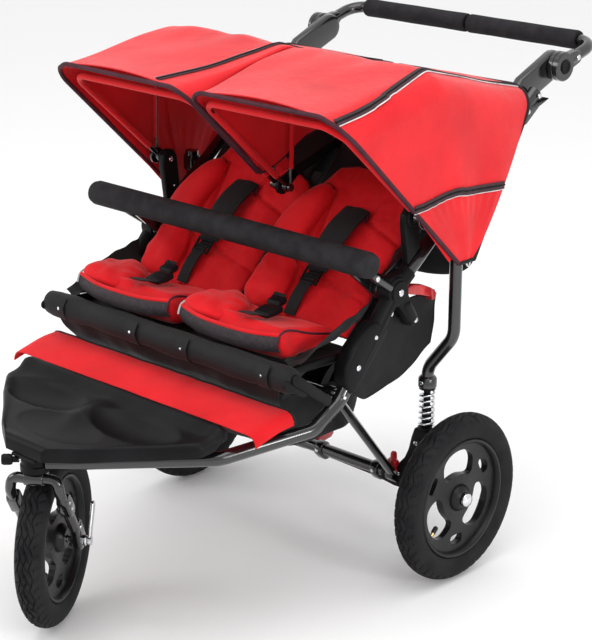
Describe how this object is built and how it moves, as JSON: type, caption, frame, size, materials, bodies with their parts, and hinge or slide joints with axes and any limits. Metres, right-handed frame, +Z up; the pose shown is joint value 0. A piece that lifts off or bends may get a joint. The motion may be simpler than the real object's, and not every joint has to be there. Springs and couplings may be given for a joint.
{
  "type": "jogging stroller",
  "caption": "Side-by-side jogging stroller: folding tube frame, two reclining padded seats with hoods, bumper bar, sprung rear axle and a swivelling front wheel.",
  "frame": {"origin": "on the ground under the middle of the overall box", "axes": "+Z up, +Y to the rear (towards the handlebar), +X to the stroller's side beside the right seat in this frame"},
  "size_m": [0.704, 1.1596, 0.9053],
  "materials": {
    "red_fabric": "bright red woven polyester, slightly sheened",
    "black_fabric": "black woven polyester",
    "foam": "matte charcoal closed-cell foam",
    "black_tube": "gloss black powder coat",
    "black_plastic": "satin black moulded plastic",
    "red_plastic": "red moulded plastic",
    "tyre_rubber": "black tyre rubber",
    "chrome": "bright chrome plate"
  },
  "bodies": {
    "chassis": {"front_tube_left": "black_tube", "front_tube_right": "black_tube", "fork_housing": "black_plastic", "footrest_plate": "black_plastic", "footrest_fabric": "red_fabric", "seat_frame": "black_tube", "seat_hammock": "black_fabric", "seat_pad_left": "red_fabric", "seat_pad_right": "red_fabric", "under_seat_basket": "black_fabric", "fold_joint_left": "black_plastic", "fold_joint_right": "black_plastic"},
    "handle_frame": {"handle_tube_left": "black_tube", "handle_tube_right": "black_tube", "hood_cross_tube": "black_tube", "hood_centre_arm": "black_plastic", "hood_bracket_left": "black_plastic", "hood_bracket_right": "black_plastic", "rear_storage_bag": "black_fabric"},
    "rear_legs": {"rear_leg_left": "black_tube", "rear_leg_right": "black_tube"},
    "handlebar": {"handlebar": "black_tube", "handlebar_grip_left": "foam", "handlebar_grip_right": "foam"},
    "bumper_bar": {"bumper_frame": "black_tube", "bumper_foam": "foam"},
    "swing_pivot": {"strut_pivot_rod": "chrome", "suspension_spring_left": "chrome", "suspension_spring_right": "chrome"},
    "rear_frame": {"rear_axle": "black_tube", "axle_gusset_left": "black_plastic", "axle_gusset_right": "black_plastic", "axle_strut_left": "black_tube", "axle_strut_right": "black_tube"},
    "brake_pedal": {"brake_pedal": "red_plastic"},
    "castor": {"front_fork": "black_tube", "front_axle": "chrome"},
    "front_axle_lever": {"front_axle_lever": "chrome"},
    "front_wheel": {"front_wheel_tyre": "tyre_rubber", "front_wheel_rim": "black_plastic"},
    "swivel_lock": {"swivel_lock_knob": "black_plastic"},
    "rear_wheel_left": {"rear_wheel_left_tyre": "tyre_rubber", "rear_wheel_left_rim": "black_plastic"},
    "wheel_release_left": {"wheel_release_left": "red_plastic"},
    "fold_lever_left": {"fold_lever_left": "red_plastic"},
    "hub_button_left": {"hub_button_left": "black_plastic"},
    "backrest_left": {"backrest_left": "red_fabric"},
    "hood_ratchet_left": {"hood_ratchet_left": "black_tube"},
    "hood_left": {"hood_bow_left": "black_tube", "canopy_left": "red_fabric"},
    "rear_wheel_right": {"rear_wheel_right_tyre": "tyre_rubber", "rear_wheel_right_rim": "black_plastic"},
    "wheel_release_right": {"wheel_release_right": "red_plastic"},
    "fold_lever_right": {"fold_lever_right": "red_plastic"},
    "hub_button_right": {"hub_button_right": "black_plastic"},
    "backrest_right": {"backrest_right": "red_fabric"},
    "hood_ratchet_right": {"hood_ratchet_right": "black_tube"},
    "hood_right": {"hood_bow_right": "black_tube", "canopy_right": "red_fabric"}
  },
  "joints": [
    {"name": "handle_fold", "type": "hinge", "parent": "chassis", "child": "handle_frame", "pos_m": [0, 0.01983, 0.545], "axis": [1, 0, 0], "range_deg": [0, 110], "deforming": ["canopy_left", "canopy_right", "seat_pad_left", "seat_pad_right", "seat_hammock", "rear_storage_bag", "backrest_left", "backrest_right"]},
    {"name": "rear_leg_fold", "type": "hinge", "parent": "handle_frame", "child": "rear_legs", "pos_m": [0, 0.14383, 0.6395], "axis": [1, 0, 0], "range_deg": [-63, 0]},
    {"name": "rear_swing_fold", "type": "hinge", "parent": "chassis", "child": "swing_pivot", "pos_m": [0, -0.10417, 0.393], "axis": [1, 0, 0], "range_deg": [0, 22.5]},
    {"name": "rear_suspension", "type": "hinge", "parent": "swing_pivot", "child": "rear_frame", "pos_m": [0, -0.10417, 0.393], "axis": [1, 0, 0], "range_deg": [0, 5], "stiffness_Nm_per_rad": 120, "springref_deg": -20.05, "deforming": ["suspension_spring_left", "suspension_spring_right"]},
    {"name": "bumper_fold", "type": "hinge", "parent": "chassis", "child": "bumper_bar", "pos_m": [0, 0.01983, 0.545], "axis": [1, 0, 0], "range_deg": [0, 58]},
    {"name": "handlebar_tilt", "type": "hinge", "parent": "handle_frame", "child": "handlebar", "pos_m": [0, 0.46183, 0.857], "axis": [1, 0, 0], "range_deg": [-60, 60]},
    {"name": "brake_pedal_turn", "type": "hinge", "parent": "rear_frame", "child": "brake_pedal", "pos_m": [0, 0.14983, 0.15], "axis": [1, 0, 0], "range_deg": [-18, 0]},
    {"name": "castor_swivel", "type": "hinge", "parent": "chassis", "child": "castor", "pos_m": [0, -0.51417, 0.31], "axis": [0, 0, 1], "continuous": true},
    {"name": "front_wheel_spin", "type": "hinge", "parent": "castor", "child": "front_wheel", "pos_m": [-0.04017, -0.44731, 0.15], "axis": [0.8572, 0.515, 0], "continuous": true},
    {"name": "front_lever_turn", "type": "hinge", "parent": "castor", "child": "front_axle_lever", "pos_m": [0.01237, -0.41574, 0.15], "axis": [-0.515, 0.8572, 0], "range_deg": [0, 100]},
    {"name": "swivel_lock_slide", "type": "slide", "parent": "chassis", "child": "swivel_lock", "axis": [-0.7071, -0.7071, 0], "range_m": [0, 0.006]},
    {"name": "rear_wheel_left_spin", "type": "hinge", "parent": "rear_frame", "child": "rear_wheel_left", "pos_m": [-0.328, 0.14983, 0.15], "axis": [1, 0, 0], "continuous": true},
    {"name": "wheel_release_left_press", "type": "slide", "parent": "rear_frame", "child": "wheel_release_left", "axis": [1, 0, 0], "range_m": [0, 0.005], "stiffness_N_per_m": 400, "springref_m": -0.003},
    {"name": "fold_lever_left_lift", "type": "hinge", "parent": "chassis", "child": "fold_lever_left", "pos_m": [-0.288, 0.05583, 0.539], "axis": [1, 0, 0], "range_deg": [0, 20], "stiffness_Nm_per_rad": 0.6, "springref_deg": -17.19},
    {"name": "hub_button_left_press", "type": "slide", "parent": "handlebar", "child": "hub_button_left", "axis": [1, 0, 0], "range_m": [0, 0.003], "stiffness_N_per_m": 500, "springref_m": -0.003},
    {"name": "backrest_left_recline", "type": "hinge", "parent": "handle_frame", "child": "backrest_left", "pos_m": [0, -0.05517, 0.468], "axis": [1, 0, 0], "range_deg": [-22, 0]},
    {"name": "hood_ratchet_left_turn", "type": "hinge", "parent": "handle_frame", "child": "hood_ratchet_left", "pos_m": [-0.298, 0.05483, 0.665], "axis": [1, 0, 0], "range_deg": [-67, 0]},
    {"name": "hood_left_fold", "type": "hinge", "parent": "hood_ratchet_left", "child": "hood_left", "pos_m": [-0.298, 0.05483, 0.665], "axis": [1, 0, 0], "range_deg": [-46, 0]},
    {"name": "rear_wheel_right_spin", "type": "hinge", "parent": "rear_frame", "child": "rear_wheel_right", "pos_m": [0.328, 0.14983, 0.15], "axis": [1, 0, 0], "continuous": true},
    {"name": "wheel_release_right_press", "type": "slide", "parent": "rear_frame", "child": "wheel_release_right", "axis": [-1, 0, 0], "range_m": [0, 0.005], "stiffness_N_per_m": 400, "springref_m": -0.003},
    {"name": "fold_lever_right_lift", "type": "hinge", "parent": "chassis", "child": "fold_lever_right", "pos_m": [0.288, 0.05583, 0.539], "axis": [1, 0, 0], "range_deg": [0, 20], "stiffness_Nm_per_rad": 0.6, "springref_deg": -17.19},
    {"name": "hub_button_right_press", "type": "slide", "parent": "handlebar", "child": "hub_button_right", "axis": [-1, 0, 0], "range_m": [0, 0.003], "stiffness_N_per_m": 500, "springref_m": -0.003},
    {"name": "backrest_right_recline", "type": "hinge", "parent": "handle_frame", "child": "backrest_right", "pos_m": [0, -0.05517, 0.468], "axis": [1, 0, 0], "range_deg": [-22, 0]},
    {"name": "hood_ratchet_right_turn", "type": "hinge", "parent": "handle_frame", "child": "hood_ratchet_right", "pos_m": [0.298, 0.05483, 0.665], "axis": [1, 0, 0], "range_deg": [-67, 0]},
    {"name": "hood_right_fold", "type": "hinge", "parent": "hood_ratchet_right", "child": "hood_right", "pos_m": [0.298, 0.05483, 0.665], "axis": [1, 0, 0], "range_deg": [-46, 0]}
  ],
  "couplings": [
    {"joint": "rear_leg_fold", "follows": "handle_fold", "ratio": -0.57},
    {"joint": "rear_swing_fold", "follows": "handle_fold", "ratio": 0.2},
    {"joint": "bumper_fold", "follows": "handle_fold", "ratio": 0.525},
    {"joint": "hood_ratchet_left_turn", "follows": "handle_fold", "ratio": -0.6},
    {"joint": "hood_ratchet_right_turn", "follows": "handle_fold", "ratio": -0.6}
  ]
}
